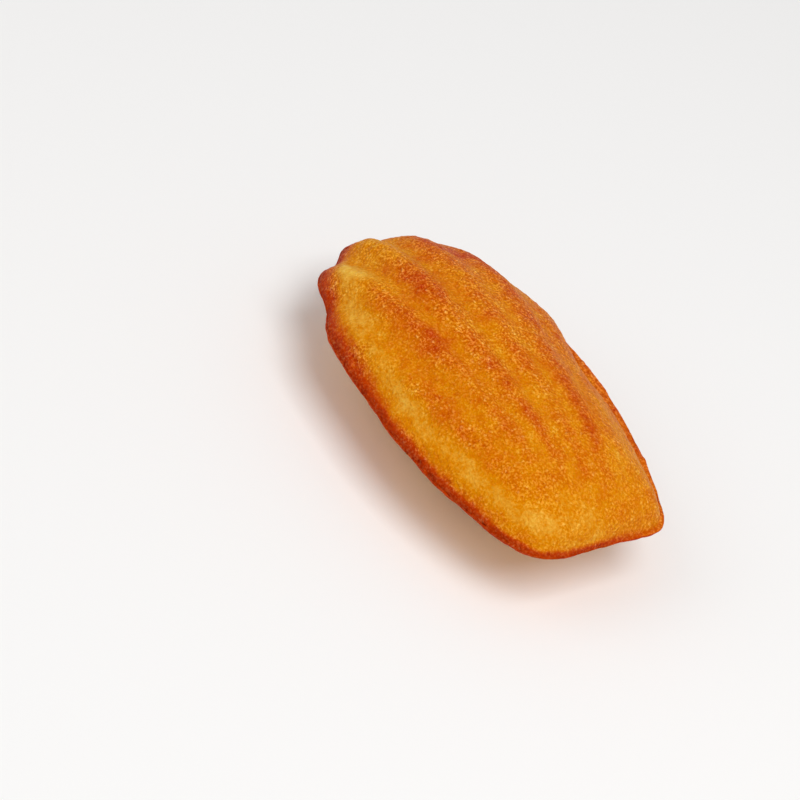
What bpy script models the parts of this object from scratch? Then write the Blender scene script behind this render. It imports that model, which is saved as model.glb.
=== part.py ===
"""A madeleine: a small shell-shaped sponge cake, baked in a fluted mould.

Metres, +Z up. The cake lies on its risen side, with the fluted side up. +X points to the narrow,
straight end, and the wide, scalloped end is at -X. The origin is under the middle of the
bounding box, on the surface that the cake lies on.
"""

import math

import bmesh
import bpy
from mathutils import Vector, noise

MM = 0.001

# The rim, where the mould's edge was: an egg shape, cut straight across at its narrow end.
LENGTH = 73.8 * MM
WIDTH = 42.6 * MM
NARROW_SEMI_LENGTH = {"-y": 44.8 * MM, "+y": 48.0 * MM}  # the egg's narrow half, before the straight cut
WIDE_ROUNDNESS = {"-y": 2.28, "+y": 2.30}  # exponent of the egg's wide half; 2 is an ellipse
CORNER_SHARPNESS = {"-y": 20.0, "+y": 28.0}  # higher is a tighter corner at the straight end

# Heights from the rim's widest line: the fluted side goes up and the risen side goes down.
SHELL_HEIGHT = 11.0 * MM
EDGE_RADIUS = 1.2 * MM
HUMP_HEIGHT = 11.6 * MM
HUMP_FLAT = 0.18  # share of the way to the rim where the hump is flat: what the cake lies on
HUMP_FOOT = 0.96  # share of the way to the rim where the hump starts to rise
HUMP_FOOT_SOFTNESS = 1.45  # 1 is a plain rounded hump; higher is more hollow at its foot

# The +y side spread a little as it baked: it is wider at its middle, and smoother at the wide end.
FAR_SWELL = 1.5 * MM
FAR_SWELL_MIDDLE = 0.02 * LENGTH
FAR_SWELL_REACH = 0.38 * LENGTH
FAR_SCALLOP_SHARE = 0.3  # how much of the scallops' depth is left on that side

# The flutes fan out from a point beyond the narrow end. The fan is turned a little from the x axis.
FAN_POINT = Vector((70.0 * MM, -4.0 * MM, 0.0))
FAN_TURN = math.radians(2.6)
FLUTE_ANGLE = math.radians(5.3)
FLUTE_RELIEF = 0.45 * MM
SCALLOP_DEPTH = 1.7 * MM
LONG_SIDE_SHARE = 0.3  # how much of the scallops' depth is left along the long sides
GROOVE_ROUNDNESS = 0.55
FAR_SIDE_SHARE = 0.45  # how much of the flutes is left on the +y side, where they baked out softer

# Where the rows of faces start from. Under the fan point's line, the columns run along the flutes.
SHELL_POLE = Vector((14.0 * MM, 0.0, 0.0))
HUMP_POLE = Vector((0.0, 0.0, 0.0))

# A lip of crust all round the rim: the fluted side's foot stands in from it, and it bulges out.
LIP_BULGE = 0.45 * MM
LIP_HALF_HEIGHT = 1.1 * MM
LEDGE = 0.15 * MM
FAR_LEDGE = 2.2 * MM  # on the +y side of the narrow half, where the batter spread over the mould's edge
FAR_SLUMP = 0.3  # how much gentler the fluted side's foot is there

# Unevenness of the baked sponge.
SHELL_UNEVEN = 0.22 * MM
HUMP_UNEVEN = 0.55 * MM
UNEVEN_SIZE = 15.0 * MM

LEVEL = 1e-6  # of the ball's radius: nearer to its equator than this is on the equator
AROUND = 104  # columns round the rim
UP = 38  # rows from the bottom to the top
OUTLINE_STEPS = 2880

CRUST_COLOUR = (0.70, 0.26, 0.035, 1.0)
CRUST_ROUGHNESS = 0.62


def smooth(value, low, high):
    """0 below low, 1 above high, with an S-shaped rise between them."""
    share = min(max((value - low) / (high - low), 0.0), 1.0)
    return share * share * (3.0 - 2.0 * share)


def flute(x, y):
    """-1 in a groove between two flutes and up to 1 on a crest, with a groove at the fan's middle."""
    phase = (math.atan2(y - FAN_POINT.y, FAN_POINT.x - x) - FAN_TURN) / FLUTE_ANGLE
    arch = math.hypot(math.sin(math.pi * phase), GROOVE_ROUNDNESS)
    return 2.0 * (arch - GROOVE_ROUNDNESS) / (math.hypot(1.0, GROOVE_ROUNDNESS) - GROOVE_ROUNDNESS) - 1.0


def flute_strength(x, y):
    """1 where the flutes are full, less on the +y side and nothing at the narrow end."""
    side = 1.0 - (1.0 - FAR_SIDE_SHARE) * smooth(y, -0.16 * WIDTH, 0.16 * WIDTH)
    return side * (1.0 - smooth(x, -0.02 * LENGTH, 0.40 * LENGTH))


def plain_radius(angle):
    """Distance from the rim's centre to the rim, before its scallops."""
    cosine, sine = math.cos(angle), math.sin(angle)
    side = "+y" if sine > 0.0 else "-y"
    narrow_side = cosine > 0.0
    half_length = NARROW_SEMI_LENGTH[side] if narrow_side else LENGTH / 2
    power = 2.0 if narrow_side else WIDE_ROUNDNESS[side]
    egg = (abs(cosine / half_length) ** power + abs(sine / (WIDTH / 2)) ** power) ** (-1.0 / power)
    if not narrow_side:
        return egg
    straight = LENGTH / 2 / cosine if cosine > 0.01 else math.inf
    sharpness = CORNER_SHARPNESS[side]
    return (egg**-sharpness + straight**-sharpness) ** (-1.0 / sharpness)


def rim_radius(angle):
    """Distance from the rim's centre to the scalloped rim. The scallops are deepest at the wide end."""
    radius = plain_radius(angle)
    x, y = radius * math.cos(angle), radius * math.sin(angle)
    wide_end = max(1.0 - smooth(x, -0.45 * LENGTH, -0.02 * LENGTH), LONG_SIDE_SHARE)
    shallower = 1.0 - (1.0 - FAR_SCALLOP_SHARE) * smooth(y, -0.12 * WIDTH, 0.16 * WIDTH)
    depth = SCALLOP_DEPTH * wide_end * flute_strength(x, y) * shallower
    along = math.exp(-(((x - FAR_SWELL_MIDDLE) / FAR_SWELL_REACH) ** 2))
    swell = FAR_SWELL * along * smooth(y, 0.12 * WIDTH, 0.32 * WIDTH)
    return radius + swell + depth * 0.5 * (flute(x, y) - 0.3)


def rim_point(angle):
    radius = rim_radius(angle)
    return Vector((radius * math.cos(angle), radius * math.sin(angle), 0.0))


def evenly_spaced_rim(count):
    """count points round the rim, the same distance apart, starting at the narrow end."""
    fine = [rim_point(math.tau * i / OUTLINE_STEPS) for i in range(OUTLINE_STEPS + 1)]
    travelled = [0.0]
    for before, after in zip(fine, fine[1:]):
        travelled.append(travelled[-1] + (after - before).length)
    points, step = [], 0
    for i in range(count):
        wanted = travelled[-1] * i / count
        while travelled[step + 1] < wanted:
            step += 1
        share = (wanted - travelled[step]) / (travelled[step + 1] - travelled[step])
        points.append(fine[step].lerp(fine[step + 1], share))
    return points


def unevenness(x, y, seed):
    return noise.noise(Vector((x / UNEVEN_SIZE, y / UNEVEN_SIZE, seed)))


def spread(x, y):
    """1 on the +y side of the narrow half, where the batter spread over the mould's edge, else 0."""
    along = smooth(x, -0.12 * LENGTH, 0.06 * LENGTH) * (1.0 - 0.6 * smooth(x, 0.34 * LENGTH, 0.48 * LENGTH))
    return along * smooth(y, 0.05 * WIDTH, 0.28 * WIDTH)


def ledge_width(x, y):
    """How far the fluted side's foot stands in from the rim."""
    return LEDGE + (FAR_LEDGE - LEDGE) * spread(x, y)


def shell_height(point, reach, local_rim):
    """Height of the fluted side over the rim's widest line. reach is 0 at the centre and 1 at the rim."""
    reach = min(reach * local_rim / (local_rim - ledge_width(point.x, point.y)), 1.0)
    cosine = math.cos(math.atan2(point.y, point.x))
    to_narrow, to_wide = max(cosine, 0.0) ** 3, max(-cosine, 0.0) ** 3
    fullness = 2.3 + 0.3 * to_wide
    steepness = 1.5 + 0.8 * to_narrow + 0.2 * to_wide - FAR_SLUMP * spread(point.x, point.y)
    dome = max(1.0 - reach**fullness, 0.0) ** (1.0 / steepness)
    deepening = 1.0 + smooth(-point.x, 0.1 * LENGTH, 0.42 * LENGTH)
    relief = FLUTE_RELIEF * deepening * flute_strength(point.x, point.y) * flute(point.x, point.y)
    wall = smooth(1.0 - reach, 0.0, 0.12)
    return SHELL_HEIGHT * dome + wall * (relief + SHELL_UNEVEN * unevenness(point.x, point.y, 3.7))


def hump_depth(point, reach, to_rim):
    """Depth of the risen side under the rim's widest line. to_rim is the distance in from the rim."""
    inward = min(to_rim / EDGE_RADIUS, 1.0)
    edge = EDGE_RADIUS * math.sqrt(1.0 - (1.0 - inward) ** 2)
    outward = min(max((reach - HUMP_FLAT) / (HUMP_FOOT - HUMP_FLAT), 0.0), 1.0)
    risen = (1.0 - outward**2) ** HUMP_FOOT_SOFTNESS
    slope = 4.0 * risen * (1.0 - risen)
    return edge + HUMP_HEIGHT * risen + slope * HUMP_UNEVEN * unevenness(point.x, point.y, 8.2)


def lip_bulge(reach, height):
    """How far the lip stands out. It swells near the rim's height only."""
    return LIP_BULGE * math.exp(-((height / LIP_HALF_HEIGHT) ** 2)) * smooth(reach, 0.6, 0.95)


def cake_point(rim, row, is_top):
    """The cake's surface over or under a point that is a share, row, of the way from a pole to the rim."""
    pole = SHELL_POLE if is_top else HUMP_POLE
    point = pole.lerp(rim, row)
    local_rim = rim_radius(math.atan2(point.y, point.x))
    reach = min(point.length / local_rim, 1.0)
    if is_top:
        height = shell_height(point, reach, local_rim)
    else:
        height = -hump_depth(point, reach, local_rim - point.length)
    if reach > 0.0:
        point += point.normalized() * lip_bulge(reach, height)
    point.z = EDGE_RADIUS + HUMP_HEIGHT + height
    return point


def crust_material():
    material = bpy.data.materials.new("golden_crust")
    material.use_nodes = True
    shader = material.node_tree.nodes["Principled BSDF"]
    shader.inputs["Base Color"].default_value = CRUST_COLOUR
    shader.inputs["Roughness"].default_value = CRUST_ROUGHNESS
    shader.inputs["Metallic"].default_value = 0.0
    return material


def build_madeleine(collection):
    """A ball whose equator is drawn out to the rim, its top to the shell and its underside to the hump."""
    shape = bmesh.new()
    bmesh.ops.create_uvsphere(shape, u_segments=AROUND, v_segments=UP, radius=1.0)
    rims = evenly_spaced_rim(AROUND)
    for vertex in shape.verts:
        ball = vertex.co
        column = round(math.atan2(ball.y, ball.x) / math.tau * AROUND) % AROUND
        row = min(math.hypot(ball.x, ball.y), 1.0)
        vertex.co = cake_point(rims[column], row, ball.z > -LEVEL)
    low = [min(vertex.co[axis] for vertex in shape.verts) for axis in range(3)]
    high = [max(vertex.co[axis] for vertex in shape.verts) for axis in range(3)]
    middle = Vector(((low[0] + high[0]) / 2, (low[1] + high[1]) / 2, low[2]))
    bmesh.ops.translate(shape, verts=shape.verts, vec=-middle)
    bmesh.ops.recalc_face_normals(shape, faces=shape.faces)
    mesh = bpy.data.meshes.new("madeleine")
    shape.to_mesh(mesh)
    shape.free()
    mesh.shade_smooth()
    mesh.materials.append(crust_material())
    cake = bpy.data.objects.new("madeleine", mesh)
    collection.objects.link(cake)
    return cake


def main():
    for old in list(bpy.data.objects):
        bpy.data.objects.remove(old)
    collection = bpy.data.collections.new("madeleine_cake")
    bpy.context.scene.collection.children.link(collection)
    build_madeleine(collection)


main()
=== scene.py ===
"""A madeleine: a small shell-shaped sponge cake, lying on its risen side with its fluted side up."""

import math

import bmesh
import bpy
import numpy as np
from bpy.props import FloatProperty, FloatVectorProperty, PointerProperty
from mathutils import Matrix, Vector, noise


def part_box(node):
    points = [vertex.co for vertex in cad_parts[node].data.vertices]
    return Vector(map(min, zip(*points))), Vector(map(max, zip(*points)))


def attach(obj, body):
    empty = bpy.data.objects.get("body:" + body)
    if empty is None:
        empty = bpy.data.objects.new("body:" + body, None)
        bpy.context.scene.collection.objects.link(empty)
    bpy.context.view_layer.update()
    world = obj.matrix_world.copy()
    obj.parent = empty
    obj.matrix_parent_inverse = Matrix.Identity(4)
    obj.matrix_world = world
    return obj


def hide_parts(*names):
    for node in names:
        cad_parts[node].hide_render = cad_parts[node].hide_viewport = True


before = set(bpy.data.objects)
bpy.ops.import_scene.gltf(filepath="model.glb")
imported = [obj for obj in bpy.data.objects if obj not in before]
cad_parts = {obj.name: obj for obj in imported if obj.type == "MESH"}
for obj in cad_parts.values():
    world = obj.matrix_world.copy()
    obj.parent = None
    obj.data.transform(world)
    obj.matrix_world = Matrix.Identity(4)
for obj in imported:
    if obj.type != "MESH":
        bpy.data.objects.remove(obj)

bl_info = {
    "name": "Madeleine",
    "version": (1, 0, 0),
    "blender": (4, 5, 0),
    "location": "3D View > Sidebar > Madeleine",
    "description": "Adds a baked madeleine and a small studio around it",
    "category": "Add Mesh",
}

MM = 0.001
NODE = "madeleine"
CAD_LOW, CAD_HIGH = (Vector(corner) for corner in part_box(NODE))
CAD_SIZE = CAD_HIGH - CAD_LOW

# The rim, where the mould's edge was: an egg shape, cut straight across at its narrow end, +X.
LENGTH = 73.8 * MM
WIDTH = 42.6 * MM
# The pairs are for the -y and for the +y side.
NARROW_SEMI_LENGTH = (44.8 * MM, 48.0 * MM)
WIDE_ROUNDNESS = (2.28, 2.30)
CORNER_SHARPNESS = (20.0, 28.0)

# Heights from the rim's widest line: the fluted side goes up and the risen side goes down.
SHELL_HEIGHT = 11.0 * MM
EDGE_RADIUS = 1.2 * MM
HUMP_HEIGHT = 11.6 * MM
HUMP_FLAT = 0.18
HUMP_FOOT = 0.96
HUMP_FOOT_SOFTNESS = 1.45

# The +y side spread a little as it baked: it is wider at its middle, and smoother at the wide end.
FAR_SWELL = 1.5 * MM
FAR_SWELL_MIDDLE = 0.02 * LENGTH
FAR_SWELL_REACH = 0.38 * LENGTH
FAR_SCALLOP_SHARE = 0.3

# The flutes fan out from a point beyond the narrow end. The fan is turned a little from the x axis.
FAN_POINT = Vector((70.0 * MM, -4.0 * MM, 0.0))
FAN_TURN = math.radians(2.6)
FLUTE_ANGLE = math.radians(5.3)
SCALLOP_DEPTH = 1.7 * MM
LONG_SIDE_SHARE = 0.3
GROOVE_ROUNDNESS = 0.55
FAR_SIDE_SHARE = 0.45

# A lip of crust all round the rim: the fluted side's foot stands in from it, and it bulges out.
LIP_BULGE = 0.45 * MM
LIP_HALF_HEIGHT = 1.1 * MM
LEDGE = 0.15 * MM
FAR_LEDGE = 2.2 * MM  # on the +y side of the narrow half, where the batter spread over the mould's edge
FAR_SLUMP = 0.3

# Unevenness of the baked sponge.
SHELL_UNEVEN = 0.22 * MM
HUMP_UNEVEN = 0.55 * MM
UNEVEN_SIZE = 15.0 * MM

# Relief of the crust: soft lumps on each side, and how ragged the lip is.
SHELL_LUMPS = 0.16 * MM
HUMP_LUMPS = 0.35 * MM
RAGGED_LIP = 0.16 * MM
HUMP_PORE_SHADE = 2.5  # painted shade in the pores on the pale side is this many times stronger
# How thickly the grit and its painted highlights and painted shade lie on the risen side.
HUMP_GRIT_AND_SPARKLE = 0.3

# Grid squares of the box that the cake is blown up from, along x, y and z.
GRID = (180, 100, 100)


# ---------------------------------------------------------------- colours


def linear(code):
    """An sRGB hex colour as the linear red, green and blue that Blender works in."""
    shares = [int(code[i : i + 2], 16) / 255 for i in (1, 3, 5)]
    return [share / 12.92 if share <= 0.04045 else ((share + 0.055) / 1.055) ** 2.4 for share in shares]


class MadeleineSettings(bpy.types.PropertyGroup):
    """The sizes and colours that a baker would change."""

    size: FloatVectorProperty(
        name="Size",
        description="Length, width and thickness of the whole cake",
        default=tuple(CAD_SIZE),
        min=0.01,
        unit="LENGTH",
        subtype="XYZ",
    )
    flute_relief: FloatProperty(
        name="Flute relief",
        description="Half the height from a groove to a flute's crest",
        default=0.45 * MM,
        min=0.0,
        unit="LENGTH",
    )
    grain_relief: FloatProperty(
        name="Grain relief",
        description="Height of the crumb's grain that shows through the crust",
        default=0.14 * MM,
        min=0.0,
        unit="LENGTH",
    )
    pore_depth: FloatProperty(
        name="Pore depth",
        description="Depth of the small open pores in the crust",
        default=0.22 * MM,
        min=0.0,
        unit="LENGTH",
    )
    pale: FloatVectorProperty(
        name="Pale crust",
        description="Crust in the grooves near the wide end, which browned least",
        default=linear("#F5BE48"),
        min=0.0,
        max=1.0,
        subtype="COLOR",
    )
    golden: FloatVectorProperty(
        name="Golden crust",
        description="Crust of the grooves and the flanks",
        default=linear("#DF8700"),
        min=0.0,
        max=1.0,
        subtype="COLOR",
    )
    amber: FloatVectorProperty(
        name="Amber crust",
        description="Crust of the flutes",
        default=linear("#D46800"),
        min=0.0,
        max=1.0,
        subtype="COLOR",
    )
    russet: FloatVectorProperty(
        name="Russet crust",
        description="The most browned stretches of the flutes, and the rim",
        default=linear("#C03A00"),
        min=0.0,
        max=1.0,
        subtype="COLOR",
    )
    scorched: FloatVectorProperty(
        name="Scorched crust",
        description="The thin lip of the rim, which browned most",
        default=linear("#961F00"),
        min=0.0,
        max=1.0,
        subtype="COLOR",
    )
    risen: FloatVectorProperty(
        name="Risen side",
        description="The pale skin of the hump, which never touched the mould",
        default=linear("#F1BA58"),
        min=0.0,
        max=1.0,
        subtype="COLOR",
    )


# ---------------------------------------------------------------- the cake's form


def smooth(value, low, high):
    """0 below low, 1 above high, with an S-shaped rise between them."""
    share = np.clip((value - low) / (high - low), 0.0, 1.0)
    return share * share * (3.0 - 2.0 * share)


def band(value, middle, half_width):
    """1 at the middle, falling to nothing over about two half widths."""
    return np.exp(-(((value - middle) / half_width) ** 2))


def flute_phase(x, y):
    """Counts the flutes across the fan. It is whole in the grooves, with 0 in the middle one."""
    return (np.arctan2(y - FAN_POINT.y, FAN_POINT.x - x) - FAN_TURN) / FLUTE_ANGLE


def flute(x, y):
    """-1 in a groove between two flutes and up to 1 on a flute's crest."""
    arch = np.hypot(np.sin(math.pi * flute_phase(x, y)), GROOVE_ROUNDNESS)
    return 2.0 * (arch - GROOVE_ROUNDNESS) / (math.hypot(1.0, GROOVE_ROUNDNESS) - GROOVE_ROUNDNESS) - 1.0


def flute_strength(x, y):
    """1 where the flutes are full, less on the +y side and nothing at the narrow end."""
    side = 1.0 - (1.0 - FAR_SIDE_SHARE) * smooth(y, -0.16 * WIDTH, 0.16 * WIDTH)
    return side * (1.0 - smooth(x, -0.02 * LENGTH, 0.40 * LENGTH))


def rim_radius(angle):
    """Distance from the rim's centre to the scalloped rim."""
    cosine, sine = np.cos(angle), np.sin(angle)
    narrow_side = cosine > 0.0
    side = (sine > 0.0).astype(int)
    half_length = np.where(narrow_side, np.take(NARROW_SEMI_LENGTH, side), LENGTH / 2)
    power = np.where(narrow_side, 2.0, np.take(WIDE_ROUNDNESS, side))
    egg = (np.abs(cosine / half_length) ** power + np.abs(sine / (WIDTH / 2)) ** power) ** (-1.0 / power)
    straight = LENGTH / 2 / np.maximum(cosine, 0.01)
    sharpness = np.take(CORNER_SHARPNESS, side)
    cut = egg * (1.0 + (egg / straight) ** sharpness) ** (-1.0 / sharpness)
    radius = np.where(narrow_side, cut, egg)
    x, y = radius * cosine, radius * sine
    wide_end = np.maximum(1.0 - smooth(x, -0.45 * LENGTH, -0.02 * LENGTH), LONG_SIDE_SHARE)
    shallower = 1.0 - (1.0 - FAR_SCALLOP_SHARE) * smooth(y, -0.12 * WIDTH, 0.16 * WIDTH)
    depth = SCALLOP_DEPTH * wide_end * flute_strength(x, y) * shallower
    along = band(x, FAR_SWELL_MIDDLE, FAR_SWELL_REACH)
    swell = FAR_SWELL * along * smooth(y, 0.12 * WIDTH, 0.32 * WIDTH)
    return radius + swell + depth * 0.5 * (flute(x, y) - 0.3)


def noise_at(points, lump, seed):
    """Soft noise from -1 to 1, with lumps of about the given size, at each point."""
    places = points / lump + seed
    return np.array([noise.noise(Vector(place)) for place in places])


def pits_at(points, spacing, radius, share, seed):
    """Round pits, 1 deep at their middle, in that share of the cells of a random packing."""
    deep = np.zeros(len(points))
    for i, place in enumerate(points / spacing + seed):
        distances, middles = noise.voronoi(Vector(place))
        reach = distances[0] * spacing / radius
        if reach < 1.0 and noise.cell(middles[0] * 7.3) < share:
            deep[i] = (1.0 - reach * reach) ** 2
    return deep


def spread(x, y):
    """1 on the +y side of the narrow half, where the batter spread over the mould's edge, else 0."""
    along = smooth(x, -0.12 * LENGTH, 0.06 * LENGTH) * (1.0 - 0.6 * smooth(x, 0.34 * LENGTH, 0.48 * LENGTH))
    return along * smooth(y, 0.05 * WIDTH, 0.28 * WIDTH)


def unevenness(x, y, seed):
    places = np.stack([x / UNEVEN_SIZE, y / UNEVEN_SIZE, np.full(len(x), seed)], axis=1)
    return noise_at(places, 1.0, 0.0)


def shell_height(x, y, reach, rim, relief):
    """Height of the fluted side over the rim. reach is 0 at the centre and 1 at the rim."""
    ledge = LEDGE + (FAR_LEDGE - LEDGE) * spread(x, y)
    reach = np.minimum(reach * rim / (rim - ledge), 1.0)
    cosine = np.cos(np.arctan2(y, x))
    to_narrow, to_wide = np.maximum(cosine, 0.0) ** 3, np.maximum(-cosine, 0.0) ** 3
    fullness = 2.3 + 0.3 * to_wide
    steepness = 1.5 + 0.8 * to_narrow + 0.2 * to_wide - FAR_SLUMP * spread(x, y)
    dome = np.maximum(1.0 - reach**fullness, 0.0) ** (1.0 / steepness)
    deepening = 1.0 + smooth(-x, 0.1 * LENGTH, 0.42 * LENGTH)
    fluting = relief * deepening * flute_strength(x, y) * flute(x, y)
    uneven = SHELL_UNEVEN * unevenness(x, y, 3.7)
    return SHELL_HEIGHT * dome + smooth(1.0 - reach, 0.0, 0.12) * (fluting + uneven)


def hump_depth(x, y, reach, to_rim):
    """Depth of the risen side under the rim."""
    inward = np.minimum(to_rim / EDGE_RADIUS, 1.0)
    edge = EDGE_RADIUS * np.sqrt(1.0 - (1.0 - inward) ** 2)
    outward = np.clip((reach - HUMP_FLAT) / (HUMP_FOOT - HUMP_FLAT), 0.0, 1.0)
    risen = (1.0 - outward**2) ** HUMP_FOOT_SOFTNESS
    return edge + HUMP_HEIGHT * risen + 4.0 * risen * (1.0 - risen) * HUMP_UNEVEN * unevenness(x, y, 8.2)


def lip_bulge(reach, height):
    """How far the lip stands out. It swells near the rim's height only."""
    return LIP_BULGE * band(height, 0.0, LIP_HALF_HEIGHT) * smooth(reach, 0.6, 0.95)


def box_ball():
    """A ball blown up from a box of evenly spaced squares, so no squares crowd at a pole."""
    shape = bmesh.new()
    bmesh.ops.create_cube(shape, size=2.0)
    for axis, squares in enumerate(GRID):
        along = [edge for edge in shape.edges if abs(edge.verts[0].co[axis] - edge.verts[1].co[axis]) > 1.0]
        bmesh.ops.subdivide_edges(shape, edges=along, cuts=squares - 1, use_grid_fill=True)
    mesh = bpy.data.meshes.new("madeleine_crust")
    shape.to_mesh(mesh)
    shape.free()
    box = get_points(mesh)
    ball = np.tan(box * math.pi / 4)
    return mesh, ball / np.linalg.norm(ball, axis=1)[:, None]


def get_points(mesh):
    flat = np.empty(len(mesh.vertices) * 3)
    mesh.vertices.foreach_get("co", flat)
    return flat.reshape(-1, 3)


def set_points(mesh, points):
    mesh.vertices.foreach_set("co", points.astype(np.float32).ravel())
    mesh.update()


def get_normals(mesh):
    flat = np.empty(len(mesh.vertices) * 3)
    mesh.vertices.foreach_get("normal", flat)
    return flat.reshape(-1, 3)


def set_shares(mesh, name, shares):
    """Stores a number from 0 to 1 at each point, for the crust's material to read."""
    layer = mesh.attributes.new(name, "FLOAT", "POINT")
    layer.data.foreach_set("value", np.clip(shares, 0.0, 1.0).astype(np.float32))


class Form:
    """Where each point of the cake is, and what part of the cake it is on."""

    def __init__(self, ball, relief):
        angle = np.arctan2(ball[:, 1] * WIDTH, ball[:, 0] * LENGTH)
        rim = rim_radius(angle)
        self.reach = np.minimum(np.hypot(ball[:, 0], ball[:, 1]), 1.0)
        self.to_rim = rim * (1.0 - self.reach)
        self.x = rim * self.reach * np.cos(angle)
        self.y = rim * self.reach * np.sin(angle)
        self.on_shell = ball[:, 2] >= -1e-6
        up = shell_height(self.x, self.y, self.reach, rim, relief)
        self.height = np.where(self.on_shell, up, -hump_depth(self.x, self.y, self.reach, self.to_rim))
        out = lip_bulge(self.reach, self.height)
        across = (self.x + out * np.cos(angle), self.y + out * np.sin(angle))
        self.points = np.stack([*across, self.height], axis=1)
        self.crest = 0.5 - 0.5 * np.cos(math.tau * flute_phase(self.x, self.y))
        self.narrow = smooth(self.x, 0.24 * LENGTH, 0.42 * LENGTH)
        self.wide = 1.0 - smooth(self.x, -0.40 * LENGTH, -0.12 * LENGTH)
        self.near = smooth(-self.y, 0.0, 0.3 * WIDTH)
        self.from_rim = np.hypot(self.to_rim, self.height)
        self.lip = band(self.height, 0.0, 1.3 * MM) * smooth(self.reach, 0.6, 0.95)


# How dark the parts of the crust bake: 0 is pale and 1 is scorched.
BAKED_SHELL = 0.38
BAKED_CREST = 0.11  # added on the flutes' crests
BAKED_FLANK = -0.16  # added in a pale band over the rim, on the -y side
BAKED_EDGE = 0.76
BAKED_LIP = 0.88
BAKED_HUMP = 0.17
BAKED_HUMP_BORDER = 0.78
FAR_EDGE_PALER = 0.20
FAR_LIP_PALER = 0.27
FLANK_BAND = 5.2 * MM  # how far from the rim the pale band is
FLANK_HALF_BAND = 2.2 * MM

# Where the -y side's browned edge is broader: x and half length in mm, and how much broader in mm.
BROAD_EDGES = ((-26, 5, 1.0), (-12, 6, 2.0))

# Where the mould browned the crust more (+) or less (-): x, y, half length and half width in mm, amount.
BAKE_SPOTS = (
    (-27, -12, 6, 3, -0.25),
    (-30, -3, 5, 3, -0.20),
    (-21, -10, 5, 2, -0.10),
    (-18, -16, 6, 2, -0.15),
    (-18, -5, 6, 3, 0.20),
    (-4, -11, 5, 3, 0.15),
    (8, -15, 8, 2, 0.10),
    (15, -4, 3, 1, 0.10),
    (12, 7, 6, 2, 0.05),
    (20, 6, 4, 2, 0.10),
    (26, 8, 3, 1, -0.20),
    (-26, 8, 8, 6, 0.20),
    (-5, 14, 16, 7, 0.10),
    (32, -5, 3, 8, -0.05),
    (20, -6, 3, 2, -0.10),
    (36, -2, 2, 4, -0.10),
    (23, -13, 6, 2, 0.05),
)


def edge_depth(form, far, small):
    """How far in from the rim the browned edge reaches."""
    depth = 1.5 + 1.2 * form.crest * form.wide + 0.6 * small - 1.0 * form.narrow
    depth = depth + 0.5 * far + 0.5 * form.near
    for x, half_length, broader in BROAD_EDGES:
        depth = depth + broader * form.near * band(form.x, x * MM, half_length * MM)
    return depth * MM


def browning(form):
    """How dark each point of the shell side has baked: 0 is pale and 1 is scorched."""
    large = noise_at(form.points, 8.0 * MM, 21.0)
    small = noise_at(form.points, 2.6 * MM, 37.0)
    ridges = form.crest * (1.0 - form.narrow) * smooth(form.to_rim, 2.0 * MM, 8.0 * MM)
    baked = BAKED_SHELL + BAKED_CREST * ridges * (1.0 + 1.2 * large) + 0.06 * large + 0.07 * small
    for x, y, half_length, half_width, amount in BAKE_SPOTS:
        spot = band(form.x, x * MM, half_length * MM) * band(form.y, y * MM, half_width * MM)
        baked = baked + amount * spot * (1.0 + 0.5 * small)
    flank = smooth(-form.y, 0.1 * WIDTH, 0.3 * WIDTH) * smooth(form.x, -0.25 * LENGTH, -0.1 * LENGTH)
    baked = baked + BAKED_FLANK * flank * band(form.from_rim, FLANK_BAND, FLANK_HALF_BAND)
    far = smooth(form.y, 0.0, 0.3 * WIDTH) * (1.0 - form.wide)
    depth = edge_depth(form, far, small)
    edge = 1.0 - smooth(form.from_rim, 0.3 * depth, 1.45 * depth)
    edge = edge * (1.0 - 0.4 * form.narrow * (1.0 - form.near))
    baked = baked + (BAKED_EDGE - FAR_EDGE_PALER * far - baked) * edge
    lip = 1.0 - smooth(form.from_rim, 0.4 * MM, 1.6 * MM)
    return baked + (BAKED_LIP - FAR_LIP_PALER * far - 0.06 * form.narrow - baked) * lip


def hump_browning(form):
    """The same on the risen side: pale on the hump, golden round it, with a browned border."""
    large = noise_at(form.points, 9.0 * MM, 55.0)
    small = noise_at(form.points, 2.5 * MM, 71.0)
    golden = 0.28 * (1.0 - smooth(form.to_rim, 1.0 * MM, (8.0 + 2.5 * large) * MM))
    border = 1.0 - smooth(form.to_rim, 0.6 * MM, (4.0 + 1.2 * large + 0.8 * small) * MM)
    baked = BAKED_HUMP + 0.10 * large + 0.06 * small + golden
    return baked + (BAKED_HUMP_BORDER - baked) * border


def grit_and_sparkle_density(form):
    """How thickly the crumb flecks lie, with their painted highlights and painted shade: in patches, most
    on the flutes and at the wide end.
    """
    patches = noise_at(form.points, 4.5 * MM, 43.0)
    even = smooth(form.x, -0.05 * LENGTH, 0.25 * LENGTH)
    flank = smooth(-form.y, 0.2 * WIDTH, 0.38 * WIDTH)
    flank = flank * (1.0 - smooth(form.x, 0.1 * LENGTH, 0.4 * LENGTH))
    rim = 1.0 - smooth(form.from_rim, 1.5 * MM, 3.5 * MM)
    far = smooth(form.y, 0.0, 0.2 * WIDTH)
    thick = form.crest * (1.0 - 0.5 * even) + 0.55 * np.maximum(even, far) + 0.9 * patches
    thick = thick - 0.45 * flank + 0.3 * rim
    strength = (1.0 + 0.35 * form.wide) * (1.0 - 0.34 * even)
    return strength * (0.42 + 0.58 * smooth(thick, 0.10, 0.95))


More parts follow.
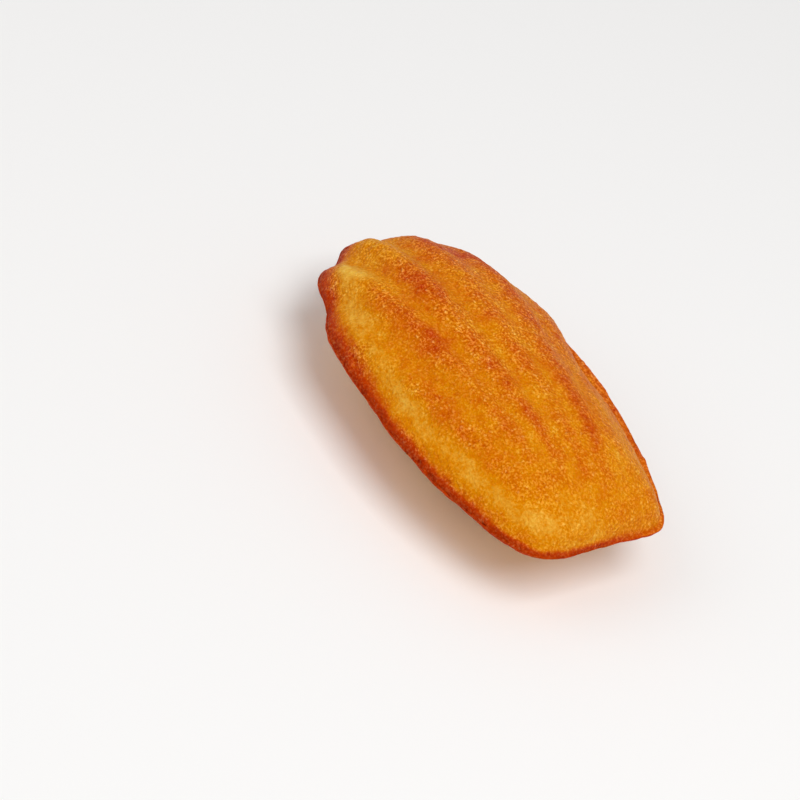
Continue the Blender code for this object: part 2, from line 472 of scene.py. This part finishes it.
def crust_relief(form, settings):
    """How far the crust stands out from the plain form at each point, and how open its pores are."""
    points = form.points
    lumps = noise_at(points, 7.0 * MM, 3.0) * np.where(form.on_shell, SHELL_LUMPS, HUMP_LUMPS)
    coarse = noise_at(points, 1.9 * MM, 11.0)
    fine = noise_at(points, 0.8 * MM, 17.0)
    ragged = noise_at(points, 2.2 * MM, 29.0) * RAGGED_LIP
    on_flutes = (0.5 + 0.5 * form.crest) * (1.0 - 0.4 * form.narrow)
    rough = np.where(form.on_shell, on_flutes, 0.45)
    grain = settings.grain_relief * rough * (0.9 * coarse + 0.8 * fine)
    pores = pits_at(points, 1.5 * MM, 0.5 * MM, 0.45, 5.0) * (0.25 + 0.75 * rough)
    small_pores = pits_at(points, 0.95 * MM, 0.34 * MM, 0.35, 9.0) * rough
    pitting = settings.pore_depth * (pores + 0.6 * small_pores) * np.where(form.on_shell, 1.0, 0.35)
    over_flat = form.height + EDGE_RADIUS + HUMP_HEIGHT
    clear_of_flat = smooth(over_flat, 0.2 * MM, 2.0 * MM)
    return clear_of_flat * (lumps + grain + form.lip * ragged - pitting), pores + 0.7 * small_pores


def build_cake(settings):
    """The cake's mesh, with the shares that its material reads at each point."""
    mesh, ball = box_ball()
    form = Form(ball, settings.flute_relief)
    low, high = form.points.min(axis=0), form.points.max(axis=0)
    middle = np.array([(low[0] + high[0]) / 2, (low[1] + high[1]) / 2, low[2]])
    points = (form.points - middle) / (high - low) * np.array(settings.size)
    set_points(mesh, points)
    relief, pores = crust_relief(form, settings)
    points = points + get_normals(mesh) * relief[:, None]
    points[:, 2] = np.maximum(points[:, 2], 0.0)
    set_points(mesh, points)
    set_shares(mesh, "browning", np.where(form.on_shell, browning(form), hump_browning(form)))
    set_shares(mesh, "risen", 1.0 - smooth(form.height, -1.6 * MM, -0.6 * MM))
    set_shares(mesh, "pores", np.where(form.on_shell, pores, HUMP_PORE_SHADE * pores))
    set_shares(mesh, "grit_and_sparkle", np.where(form.on_shell, grit_and_sparkle_density(form), HUMP_GRIT_AND_SPARKLE))
    mesh.shade_smooth()
    cake = bpy.data.objects.new("madeleine_crust", mesh)
    bpy.context.scene.collection.objects.link(cake)
    return cake


# ---------------------------------------------------------------- materials

# Sizes of the crust's patterns.
BLOTCH = 2.2 * MM
CRUMB = 0.6 * MM
SPECKLE = 0.42 * MM
TOOTH = 0.32 * MM
TOOTH_DEPTH = 0.15 * MM
TIP_SPACING = 0.8 * MM
TIP_WOBBLE = 0.7 * MM

# How far blotches and crumb shift the browning, and how much painted shade the pores add.
BLOTCH_MOTTLE = 0.42
CRUMB_MOTTLE = 0.30
PORE_SHADE = 0.10

# Red, green and blue shares for the painted shade in the dips and the painted highlights on the flecks and
# the crumb tips.
DIP_SHADE = (0.78, 0.60, 0.25)
FLECK_HIGHLIGHT_GAIN, FLECK_HIGHLIGHT_LIFT = (1.14, 1.40, 2.2), (0.17, 0.11, 0.036)
TIP_HIGHLIGHT_GAIN, TIP_HIGHLIGHT_LIFT = (1.10, 1.45, 2.2), (0.24, 0.155, 0.065)


def add_node(tree, kind, settings=None, inputs=None):
    """Adds a node, sets its own settings, and sets or links its inputs."""
    node = tree.nodes.new(kind)
    for name, value in (settings or {}).items():
        setattr(node, name, value)
    for name, value in (inputs or {}).items():
        if isinstance(value, bpy.types.NodeSocket):
            tree.links.new(value, node.inputs[name])
        else:
            node.inputs[name].default_value = value
    return node


def set_stops(ramp_node, stops):
    """Gives a colour ramp its stops: (position, linear colour)."""
    ramp = ramp_node.color_ramp
    while len(ramp.elements) < len(stops):
        ramp.elements.new(1.0)
    for element, (position, colour) in zip(ramp.elements, stops):
        element.position = position
        element.color = (*colour, 1.0)


def per_metre(size):
    """The texture scale whose features are about the given size."""
    return 1.0 / size


def mottled(tree, browning, pores, calm, blotch, crumb):
    """The browning, with patches that browned a little more or less, and painted shade in the pores."""
    blotch_shift = add_node(tree, "ShaderNodeMath", {"operation": "MULTIPLY_ADD"}, {
        0: blotch, 1: BLOTCH_MOTTLE, 2: -BLOTCH_MOTTLE / 2}).outputs[0]
    crumb_shift = add_node(tree, "ShaderNodeMath", {"operation": "MULTIPLY_ADD"}, {
        0: crumb, 1: CRUMB_MOTTLE, 2: -CRUMB_MOTTLE / 2}).outputs[0]
    mottle = add_node(tree, "ShaderNodeMath", {"operation": "ADD"}, {
        0: blotch_shift, 1: crumb_shift}).outputs[0]
    mottle = add_node(tree, "ShaderNodeMath", {"operation": "MULTIPLY"}, {0: mottle, 1: calm}).outputs[0]
    baked = add_node(tree, "ShaderNodeMath", {"operation": "ADD"}, {0: browning, 1: mottle}).outputs[0]
    return add_node(tree, "ShaderNodeMath", {"operation": "MULTIPLY_ADD"}, {
        0: pores, 1: PORE_SHADE, 2: baked}).outputs[0]


def baked_colour(tree, baked, risen, settings):
    """From pale to scorched on the shell side, and from the pale risen skin to scorched on the hump."""
    shell = add_node(tree, "ShaderNodeValToRGB", None, {"Fac": baked})
    set_stops(shell, [
        (0.05, settings.pale), (0.30, settings.golden), (0.52, settings.amber),
        (0.74, settings.russet), (0.96, settings.scorched)])
    skin = add_node(tree, "ShaderNodeValToRGB", None, {"Fac": baked})
    set_stops(skin, [
        (0.10, settings.risen), (0.40, settings.golden), (0.58, settings.amber),
        (0.74, settings.russet), (0.96, settings.scorched)])
    return add_node(tree, "ShaderNodeMix", {"data_type": "RGBA"}, {
        0: risen, 6: shell.outputs["Color"], 7: skin.outputs["Color"]}).outputs[2]


def highlight_and_shade_strength(tree, browning, calm, grit_and_sparkle):
    """The painted highlights and painted shade are faint where the crust is pale or nearly burnt, and
    gather where the grit and sparkle lie thick.
    """
    toasted = add_node(tree, "ShaderNodeMapRange", {"interpolation_type": "SMOOTHSTEP"}, {
        "Value": browning, "From Min": 0.10, "From Max": 0.42, "To Min": 0.25, "To Max": 1.0}).outputs[0]
    unburnt = add_node(tree, "ShaderNodeMapRange", {"interpolation_type": "SMOOTHSTEP"}, {
        "Value": browning, "From Min": 0.60, "From Max": 0.80, "To Min": 1.0, "To Max": 0.5}).outputs[0]
    strength = add_node(tree, "ShaderNodeMath", {"operation": "MULTIPLY"}, {
        0: toasted, 1: unburnt}).outputs[0]
    strength = add_node(tree, "ShaderNodeMath", {"operation": "MULTIPLY"}, {
        0: strength, 1: calm}).outputs[0]
    return add_node(tree, "ShaderNodeMath", {"operation": "MULTIPLY"}, {0: strength, 1: grit_and_sparkle}).outputs[0]


def with_highlighted_flecks(tree, crust, speckle, strength):
    """Small flecks of crumb with painted highlights, and painted shade in the dips between them, in one
    hue.
    """
    highlight_fleck = add_node(tree, "ShaderNodeMapRange", {"interpolation_type": "SMOOTHSTEP"}, {
        "Value": speckle, "From Min": 0.50, "From Max": 0.63}).outputs[0]
    shaded_dip = add_node(tree, "ShaderNodeMapRange", {"interpolation_type": "SMOOTHSTEP"}, {
        "Value": speckle, "From Min": 0.30, "From Max": 0.48, "To Min": 1.0, "To Max": 0.0}).outputs[0]
    highlight_fleck = add_node(tree, "ShaderNodeMath", {"operation": "MULTIPLY"}, {0: highlight_fleck, 1: strength}).outputs[0]
    shaded_dip = add_node(tree, "ShaderNodeMath", {"operation": "MULTIPLY"}, {0: shaded_dip, 1: strength}).outputs[0]
    shaded_crust = add_node(tree, "ShaderNodeVectorMath", {"operation": "MULTIPLY"}, {
        0: crust, 1: DIP_SHADE}).outputs[0]
    crust = add_node(tree, "ShaderNodeMix", {"data_type": "RGBA"}, {
        0: shaded_dip, 6: crust, 7: shaded_crust}).outputs[2]
    highlighted_crust = add_node(tree, "ShaderNodeVectorMath", {"operation": "MULTIPLY_ADD"}, {
        0: crust, 1: FLECK_HIGHLIGHT_GAIN, 2: FLECK_HIGHLIGHT_LIFT}).outputs[0]
    return add_node(tree, "ShaderNodeMix", {"data_type": "RGBA"}, {
        0: highlight_fleck, 6: crust, 7: highlighted_crust}).outputs[2]


def crumb_tip_glints(tree, place, strength):
    """Rounder crumb tips, 0.8 mm apart and of uneven outline, with painted highlights that make them the
    brightest glints.
    """
    wobble = add_node(tree, "ShaderNodeTexNoise", None, {
        "Vector": place, "Scale": per_metre(CRUMB), "Detail": 1.0}).outputs["Color"]
    uneven = add_node(tree, "ShaderNodeVectorMath", {"operation": "MULTIPLY_ADD"}, {
        0: wobble, 1: (TIP_WOBBLE, TIP_WOBBLE, TIP_WOBBLE), 2: place}).outputs[0]
    cells = add_node(tree, "ShaderNodeTexVoronoi", {"feature": "F1"}, {
        "Vector": uneven, "Scale": per_metre(TIP_SPACING), "Randomness": 1.0})
    round_tip = add_node(tree, "ShaderNodeMapRange", {"interpolation_type": "SMOOTHSTEP"}, {
        "Value": cells.outputs["Distance"], "From Min": 0.14, "From Max": 0.42,
        "To Min": 1.0, "To Max": 0.0}).outputs[0]
    chosen = add_node(tree, "ShaderNodeSeparateColor", None, {0: cells.outputs["Color"]}).outputs[0]
    chosen = add_node(tree, "ShaderNodeMapRange", {"interpolation_type": "SMOOTHSTEP"}, {
        "Value": chosen, "From Min": 0.30, "From Max": 0.95, "To Max": 0.95}).outputs[0]
    tips = add_node(tree, "ShaderNodeMath", {"operation": "MULTIPLY"}, {
        0: round_tip, 1: chosen}).outputs[0]
    return add_node(tree, "ShaderNodeMath", {"operation": "MULTIPLY"}, {0: tips, 1: strength}).outputs[0]


def with_tip_highlights(tree, crust, tips):
    # Painted highlights: the crumb tips' colour is lifted towards a pale gold glint.
    painted_glint = add_node(tree, "ShaderNodeVectorMath", {"operation": "MULTIPLY_ADD"}, {
        0: crust, 1: TIP_HIGHLIGHT_GAIN, 2: TIP_HIGHLIGHT_LIFT}).outputs[0]
    return add_node(tree, "ShaderNodeMix", {"data_type": "RGBA"}, {
        0: tips, 6: crust, 7: painted_glint}).outputs[2]


def fine_relief(tree, place, speckle, tips, calm):
    """Relief too fine for the mesh: the grains and the tips, and a 0.3 mm tooth between them."""
    tooth = add_node(tree, "ShaderNodeTexNoise", None, {
        "Vector": place, "Scale": per_metre(TOOTH), "Detail": 3.0, "Roughness": 0.6}).outputs["Fac"]
    height = add_node(tree, "ShaderNodeMath", {"operation": "MULTIPLY_ADD"}, {
        0: speckle, 1: 2.0, 2: tooth}).outputs[0]
    height = add_node(tree, "ShaderNodeMath", {"operation": "ADD"}, {0: height, 1: tips}).outputs[0]
    height = add_node(tree, "ShaderNodeMath", {"operation": "MULTIPLY"}, {0: height, 1: calm}).outputs[0]
    return add_node(tree, "ShaderNodeBump", None, {
        "Height": height, "Strength": 0.85, "Distance": TOOTH_DEPTH}).outputs["Normal"]


def baked_sponge_crust(settings):
    """Butter sponge baked in a greased metal mould: thin, golden, slightly greasy, full of tiny pores.

    The eye sees a mottled gold that browns along the flutes and at the rim, with a sparkle of small bright
    grains that is painted in as highlights and shade, and a paler, smoother skin on the risen side.
    """
    material = bpy.data.materials.new("baked_sponge_crust")
    material.use_nodes = True
    tree = material.node_tree
    tree.nodes.clear()
    place = add_node(tree, "ShaderNodeTexCoord").outputs["Object"]
    browning, risen, pores, grit_and_sparkle = (
        add_node(tree, "ShaderNodeAttribute", {"attribute_name": name}).outputs["Fac"]
        for name in ("browning", "risen", "pores", "grit_and_sparkle"))
    calm = add_node(tree, "ShaderNodeMapRange", None, {
        "Value": risen, "From Min": 0.0, "From Max": 1.0, "To Min": 1.0, "To Max": 0.6}).outputs[0]
    blotch = add_node(tree, "ShaderNodeTexNoise", None, {
        "Vector": place, "Scale": per_metre(BLOTCH), "Detail": 4.0, "Roughness": 0.62}).outputs["Fac"]
    crumb = add_node(tree, "ShaderNodeTexNoise", None, {
        "Vector": place, "Scale": per_metre(CRUMB), "Detail": 3.0, "Roughness": 0.65}).outputs["Fac"]
    speckle = add_node(tree, "ShaderNodeTexNoise", None, {
        "Vector": place, "Scale": per_metre(SPECKLE), "Detail": 2.0, "Roughness": 0.6,
        "Distortion": 0.3}).outputs["Fac"]

    baked = mottled(tree, browning, pores, calm, blotch, crumb)
    crust = baked_colour(tree, baked, risen, settings)
    strength = highlight_and_shade_strength(tree, browning, calm, grit_and_sparkle)
    # Painted highlights on the flecks and painted shade in the dips.
    crust = with_highlighted_flecks(tree, crust, speckle, strength)
    tips = crumb_tip_glints(tree, place, strength)
    # Painted highlights on the crumb tips.
    crust = with_tip_highlights(tree, crust, tips)
    bump = fine_relief(tree, place, speckle, tips, calm)
    gloss = add_node(tree, "ShaderNodeMapRange", None, {
        "Value": crumb, "From Min": 0.3, "From Max": 0.7, "To Min": 0.40, "To Max": 0.58}).outputs[0]
    shader = add_node(tree, "ShaderNodeBsdfPrincipled", None, {
        "Base Color": crust, "Roughness": gloss, "Normal": bump, "Metallic": 0.0, "IOR": 1.46,
        "Specular IOR Level": 0.09, "Specular Tint": (1.0, 0.5, 0.08, 1.0),
        "Subsurface Weight": 0.10, "Subsurface Radius": (1.0, 0.42, 0.12), "Subsurface Scale": 1.2 * MM})
    add_node(tree, "ShaderNodeOutputMaterial", None, {"Surface": shader.outputs[0]})
    return material


def matte_board():
    """A sheet of white-painted board: pale and quite matte, so it gives only a soft shadow."""
    material = bpy.data.materials.new("matte_painted_board")
    material.use_nodes = True
    tree = material.node_tree
    shader = tree.nodes["Principled BSDF"]
    place = add_node(tree, "ShaderNodeTexCoord").outputs["Object"]
    tooth = add_node(tree, "ShaderNodeTexNoise", None, {
        "Vector": place, "Scale": per_metre(1.5 * MM), "Detail": 2.0}).outputs["Fac"]
    bump = add_node(tree, "ShaderNodeBump", None, {
        "Height": tooth, "Strength": 0.1, "Distance": 0.02 * MM}).outputs["Normal"]
    tree.links.new(bump, shader.inputs["Normal"])
    shader.inputs["Base Color"].default_value = (*linear("#F7F6F5"), 1.0)
    shader.inputs["Roughness"].default_value = 0.85
    return material


# ---------------------------------------------------------------- operators


class MADELEINE_OT_cake(bpy.types.Operator):
    """Adds the madeleine: one closed skin with its flutes, lip, hump, grain and pores"""

    bl_idname = "madeleine.add_cake"
    bl_label = "Add the madeleine"

    def execute(self, context):
        settings = context.scene.madeleine
        cake = build_cake(settings)
        cake.data.materials.append(baked_sponge_crust(settings))
        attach(cake, "root")
        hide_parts(NODE)
        return {"FINISHED"}


CENTRE = Vector((0.0, 0.0, EDGE_RADIUS + HUMP_HEIGHT))
VIEW_AZIMUTH = math.radians(-50.1)  # from +X towards +Y
VIEW_ELEVATION = math.radians(40.1)
VIEW_ROLL = math.radians(23.9)
VIEW_DISTANCE = 0.455
LENS = 120.8
AIM_OFF = (-14.13 * MM, -2.04 * MM)  # how far right of and above the cake's middle the camera looks


def direction(azimuth, elevation):
    level = math.cos(elevation)
    return Vector((level * math.cos(azimuth), level * math.sin(azimuth), math.sin(elevation)))


def look(place, target, up):
    """The matrix of something at a place that looks at a target along its -Z."""
    back = (place - target).normalized()
    right = up.cross(back).normalized()
    matrix = Matrix((right, back.cross(right), back)).transposed().to_4x4()
    matrix.translation = place
    return matrix


class MADELEINE_OT_stage(bpy.types.Operator):
    """Adds the pale floor, the soft lights and the camera"""

    bl_idname = "madeleine.add_stage"
    bl_label = "Add the stage"

    def execute(self, context):
        scene = context.scene
        self.add_floor(scene)
        self.add_light(scene, "key_softbox", math.radians(-5.0), math.radians(66.0), 0.55, 4.9)
        self.add_light(scene, "fill_softbox", math.radians(-120.0), math.radians(38.0), 0.60, 1.0)
        self.add_sky(scene)
        self.add_camera(scene)
        scene.view_settings.view_transform = "Standard"
        return {"FINISHED"}

    def add_floor(self, scene):
        bpy.ops.mesh.primitive_plane_add(size=4.0, location=(0.0, 0.0, 0.0))
        floor = bpy.context.object
        floor.name = "floor"
        floor.data.materials.append(matte_board())

    def add_light(self, scene, name, azimuth, elevation, size, power):
        light = bpy.data.lights.new(name, "AREA")
        light.size = size
        light.energy = power
        lamp = bpy.data.objects.new(name, light)
        place = CENTRE + direction(azimuth, elevation) * 0.9
        lamp.matrix_world = look(place, CENTRE, Vector((0.0, 0.0, 1.0)))
        scene.collection.objects.link(lamp)

    def add_sky(self, scene):
        world = bpy.data.worlds.new("studio_sky")
        world.use_nodes = True
        background = world.node_tree.nodes["Background"]
        background.inputs["Color"].default_value = (*linear("#FFFFFF"), 1.0)
        background.inputs["Strength"].default_value = 0.45
        scene.world = world

    def add_camera(self, scene):
        back = direction(VIEW_AZIMUTH, VIEW_ELEVATION)
        level_right = Vector((0.0, 0.0, 1.0)).cross(back).normalized()
        level_up = back.cross(level_right)
        up = level_up * math.cos(VIEW_ROLL) - level_right * math.sin(VIEW_ROLL)
        right = up.cross(back)
        camera = bpy.data.objects.new("camera", bpy.data.cameras.new("camera"))
        camera.data.lens = LENS
        camera.data.sensor_width = 36.0
        camera.data.clip_start = 0.01
        target = CENTRE + right * AIM_OFF[0] + up * AIM_OFF[1]
        camera.matrix_world = look(CENTRE + back * VIEW_DISTANCE, target, up)
        scene.collection.objects.link(camera)
        scene.camera = camera


class MADELEINE_PT_panel(bpy.types.Panel):
    """The madeleine's settings and buttons"""

    bl_label = "Madeleine"
    bl_idname = "MADELEINE_PT_panel"
    bl_space_type = "VIEW_3D"
    bl_region_type = "UI"
    bl_category = "Madeleine"

    def draw(self, context):
        for name in MadeleineSettings.__annotations__:
            self.layout.prop(context.scene.madeleine, name)
        self.layout.operator(MADELEINE_OT_cake.bl_idname)
        self.layout.operator(MADELEINE_OT_stage.bl_idname)


CLASSES = (MadeleineSettings, MADELEINE_OT_cake, MADELEINE_OT_stage, MADELEINE_PT_panel)


def register():
    for cls in CLASSES:
        bpy.utils.register_class(cls)
    bpy.types.Scene.madeleine = PointerProperty(type=MadeleineSettings)


def unregister():
    del bpy.types.Scene.madeleine
    for cls in reversed(CLASSES):
        bpy.utils.unregister_class(cls)


def main():
    register()
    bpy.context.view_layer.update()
    bpy.ops.madeleine.add_cake()
    bpy.ops.madeleine.add_stage()


if __name__ == "__main__":
    main()
